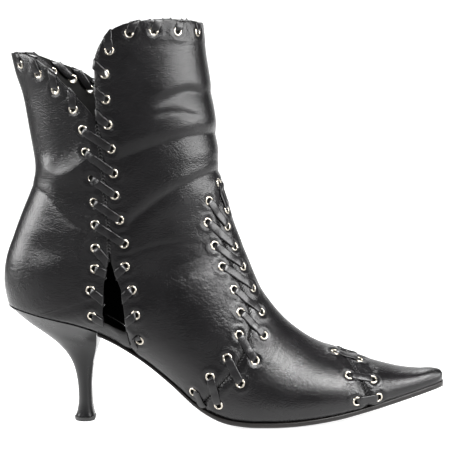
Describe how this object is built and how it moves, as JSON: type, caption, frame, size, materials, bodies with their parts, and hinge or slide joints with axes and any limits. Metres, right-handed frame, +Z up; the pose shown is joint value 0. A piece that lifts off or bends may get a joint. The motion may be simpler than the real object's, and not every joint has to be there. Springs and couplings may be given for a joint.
{
  "type": "lace-up ankle boot",
  "caption": "Pointed-toe ankle boot in black leather with notched collar, side slit and slim flared heel, whip-laced along its seams with flat leather lace.",
  "frame": {"origin": "centre of the bounding box on the floor, between heel tip and toe", "axes": "+X towards the toe, +Y towards the inner side of the foot, +Z up"},
  "size_m": [0.2718, 0.08, 0.2522],
  "materials": {
    "upper_leather": "smooth glossy calf with a fine grain",
    "insole_leather": "matt lining leather",
    "sole_leather": "dyed sole leather with a waxed edge",
    "heel_cover": "satin black cover over a moulded heel",
    "lift_rubber": "hard dull rubber",
    "lace_leather": "glossy flat-cut lace"
  },
  "bodies": {
    "root": {"upper": "upper_leather", "insole": "insole_leather", "outsole": "sole_leather", "heel": "heel_cover", "top_lift": "lift_rubber", "collar_front_lace": "lace_leather", "collar_back_lace": "lace_leather", "side_lace_outer": "lace_leather", "side_lace_inner": "lace_leather", "slit_lace_back": "lace_leather", "slit_lace_front": "lace_leather", "vamp_lace": "lace_leather", "toe_lace": "lace_leather"}
  },
  "joints": []
}
